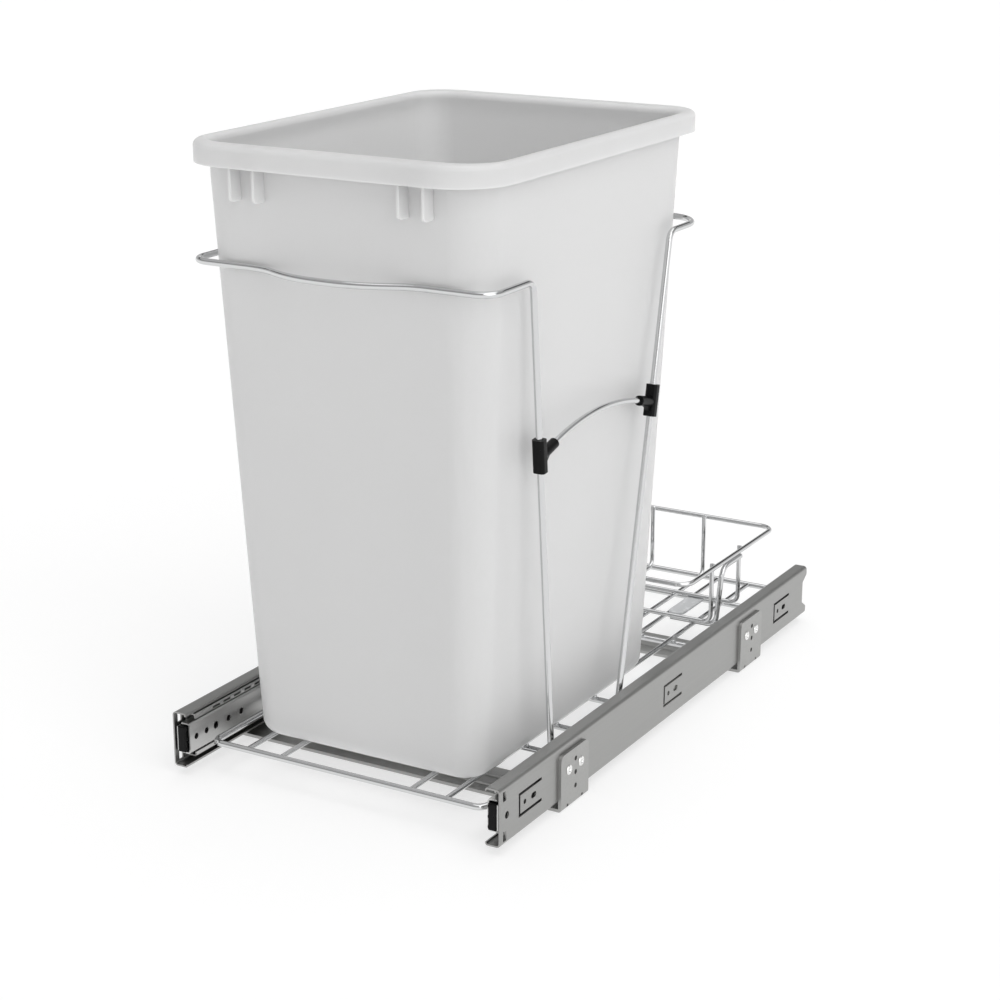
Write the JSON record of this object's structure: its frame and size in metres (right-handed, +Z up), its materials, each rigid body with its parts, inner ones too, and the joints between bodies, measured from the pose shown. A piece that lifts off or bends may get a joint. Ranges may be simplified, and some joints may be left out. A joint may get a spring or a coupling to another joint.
{
  "type": "pull-out waste container",
  "caption": "Kitchen cabinet pull-out waste container: a tall tapered bin in a chrome wire carriage with a rear basket, on telescopic ball-bearing slides and floor brackets.",
  "frame": {"origin": "on the cabinet floor, midway between the slides and midway along them", "axes": "+X across the cabinet, -Y towards the user, +Z up"},
  "size_m": [0.2976, 0.559, 0.4899],
  "materials": {
    "bin_plastic": "satin light grey polypropylene, fine moulded grain",
    "chrome_wire": "bright chrome plated round wire",
    "rail_steel": "zinc plated cold rolled steel, satin",
    "bracket_steel": "zinc plated pressed steel",
    "cage_steel": "bright rolled strip with oil film",
    "ball_steel": "polished bearing steel",
    "rivet_steel": "bright plated rivet",
    "black_plastic": "black moulded nylon",
    "stop_rubber": "black buffer rubber",
    "plate_plastic": "light grey moulded plate"
  },
  "bodies": {
    "cabinet_mount": {"floor_bracket_front": "bracket_steel", "floor_bracket_rear": "bracket_steel", "bracket_rivets": "rivet_steel", "outer_rail_left": "rail_steel", "outer_rail_right": "rail_steel", "rear_stops": "stop_rubber"},
    "outer_cages": {"outer_ball_cage_left": "cage_steel", "outer_ball_cage_right": "cage_steel", "outer_balls": "ball_steel"},
    "middle_rails": {"middle_rail_left": "rail_steel", "middle_rail_right": "rail_steel", "nose_bumpers": "black_plastic"},
    "inner_cages": {"inner_ball_cage_left": "cage_steel", "inner_ball_cage_right": "cage_steel", "inner_balls": "ball_steel"},
    "carriage": {"inner_rail_left": "rail_steel", "inner_rail_right": "rail_steel", "base_frame_wire": "chrome_wire", "base_floor_wires": "chrome_wire", "base_cross_bars": "chrome_wire", "front_hoop": "chrome_wire", "rear_hoop": "chrome_wire", "side_wire_left": "chrome_wire", "side_wire_right": "chrome_wire", "front_clip_left": "black_plastic", "front_clip_right": "black_plastic", "rear_clip_left": "black_plastic", "rear_clip_right": "black_plastic", "basket_ring": "chrome_wire", "basket_cross_wires": "chrome_wire", "basket_long_wires": "chrome_wire", "basket_hanger_left": "chrome_wire", "basket_hanger_right": "chrome_wire", "catch_plate": "plate_plastic"},
    "bin": {"waste_bin": "bin_plastic"}
  },
  "joints": [
    {"name": "pull_out", "type": "slide", "parent": "cabinet_mount", "child": "carriage", "axis": [0, -1, 0], "range_m": [0, 0.559]},
    {"name": "middle_rail_slide", "type": "slide", "parent": "cabinet_mount", "child": "middle_rails", "axis": [0, -1, 0], "range_m": [0, 0.2795]},
    {"name": "outer_cage_roll", "type": "slide", "parent": "cabinet_mount", "child": "outer_cages", "axis": [0, -1, 0], "range_m": [0, 0.13975]},
    {"name": "inner_cage_roll", "type": "slide", "parent": "cabinet_mount", "child": "inner_cages", "axis": [0, -1, 0], "range_m": [0, 0.41925]},
    {"name": "bin_lift_out", "type": "slide", "parent": "carriage", "child": "bin", "axis": [0, 0, 1], "range_m": [0, 0.4]}
  ],
  "couplings": [
    {"joint": "middle_rail_slide", "follows": "pull_out", "ratio": 0.5},
    {"joint": "outer_cage_roll", "follows": "pull_out", "ratio": 0.25},
    {"joint": "inner_cage_roll", "follows": "pull_out", "ratio": 0.75}
  ]
}
